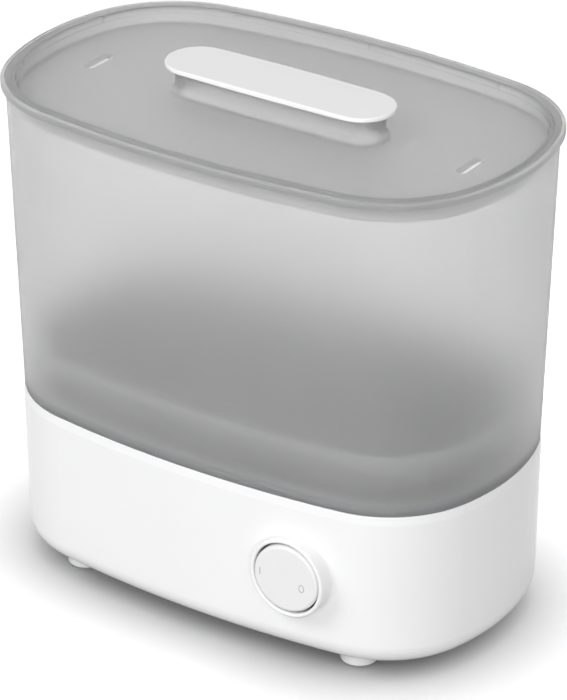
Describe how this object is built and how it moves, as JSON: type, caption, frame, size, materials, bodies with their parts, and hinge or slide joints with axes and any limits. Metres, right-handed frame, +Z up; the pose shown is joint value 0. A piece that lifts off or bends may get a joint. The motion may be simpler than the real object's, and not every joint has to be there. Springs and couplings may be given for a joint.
{
  "type": "steam sterilizer",
  "caption": "Oblong tabletop steam sterilizer: base with heating plate and rocker switch, frosted chamber, bottle basket and dished lid with grip.",
  "frame": {"origin": "on the surface it stands on, under the middle of the plan", "axes": "+Z up, X along the length, the switch faces -Y"},
  "size_m": [0.2904, 0.177, 0.2754],
  "materials": {
    "white_gloss": "glossy moulded ABS",
    "white_matte": "fine matt moulded plastic",
    "grey_rubber": "soft matt rubber",
    "silicone": "smooth silicone",
    "steel": "zinc plated steel",
    "stainless": "brushed stainless steel",
    "element_steel": "oxidised element sheath",
    "aluminium": "cast aluminium",
    "brass": "stamped brass",
    "dark_plastic": "matt phenolic",
    "wire": "silicone wire insulation",
    "frosted_grey": "frosted translucent polypropylene",
    "frosted_clear": "natural translucent polypropylene"
  },
  "bodies": {
    "base": {"base_housing": "white_gloss", "base_cover": "white_matte", "feet": "white_matte", "foot_pads": "grey_rubber", "foot_screws": "steel", "heating_plate": "stainless", "plate_seal": "silicone", "plate_nuts": "steel", "heater_carrier": "aluminium", "heating_element": "element_steel", "element_tabs": "brass", "thermostats": "dark_plastic", "thermostat_clamp": "steel", "clamp_screws": "steel", "rocker_pins": "steel", "switch_module": "dark_plastic", "switch_tabs": "brass", "module_screws": "steel", "cord_gland": "white_matte", "gland_nut": "white_matte", "terminal_block": "dark_plastic", "block_screws": "steel", "supply_lead": "wire", "switched_lead": "wire", "return_lead": "wire"},
    "rocker": {"switch_rocker": "white_matte"},
    "plunger": {"switch_plunger": "white_matte"},
    "basket": {"bottle_basket": "frosted_clear"},
    "chamber": {"chamber": "frosted_grey"},
    "lid": {"lid": "frosted_grey", "handle_cap": "white_gloss", "handle_screws": "steel"}
  },
  "joints": [
    {"name": "chamber_lift", "type": "slide", "parent": "base", "child": "chamber", "axis": [0, 0, 1], "range_m": [0, 0.15]},
    {"name": "lid_lift", "type": "slide", "parent": "chamber", "child": "lid", "axis": [0, 0, 1], "range_m": [0, 0.26]},
    {"name": "basket_lift", "type": "slide", "parent": "base", "child": "basket", "axis": [0, 0, 1], "range_m": [0, 0.182]},
    {"name": "rocker_tilt", "type": "hinge", "parent": "base", "child": "rocker", "pos_m": [0.0616, -0.08274, 0.0542], "axis": [0, 0, -1], "range_deg": [0, 8]},
    {"name": "plunger_slide", "type": "slide", "parent": "base", "child": "plunger", "axis": [0, 1, 0], "range_m": [0, 0.003]}
  ],
  "couplings": [
    {"joint": "basket_lift", "follows": "lid_lift", "ratio": 0.7},
    {"joint": "plunger_slide", "follows": "rocker_tilt", "m_per_rad": 0.01199}
  ]
}
